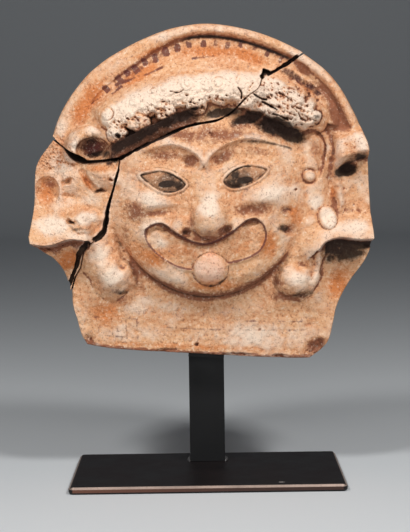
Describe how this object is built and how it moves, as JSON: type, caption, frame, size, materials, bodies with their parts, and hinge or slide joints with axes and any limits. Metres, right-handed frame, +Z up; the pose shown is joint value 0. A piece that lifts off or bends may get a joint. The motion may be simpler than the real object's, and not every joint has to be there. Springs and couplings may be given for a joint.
{
  "type": "antefix",
  "caption": "Arched terracotta antefix with a gorgon mask in relief, set together from broken fragments on a black steel post and flat foot plate.",
  "frame": {"origin": "middle of the foot plate's underside, on the surface that the stand rests on", "axes": "+Z up, the mask looks along -Y, +X is the viewer's right"},
  "size_m": [0.2426, 0.11, 0.3239],
  "materials": {
    "terracotta": "unglazed fired clay with worn cream slip, orange and brown stains and traces of dark paint",
    "blackened_steel": "matte black",
    "patinated_steel": "brown-black patina under wax, satin, with a rubbed bright edge"
  },
  "bodies": {
    "root": {"mask_fragment": "terracotta", "crown_fragment": "terracotta", "left_fragment": "terracotta", "stand_post": "blackened_steel", "stand_ledge": "blackened_steel", "stand_foot_plate": "patinated_steel"}
  },
  "joints": []
}
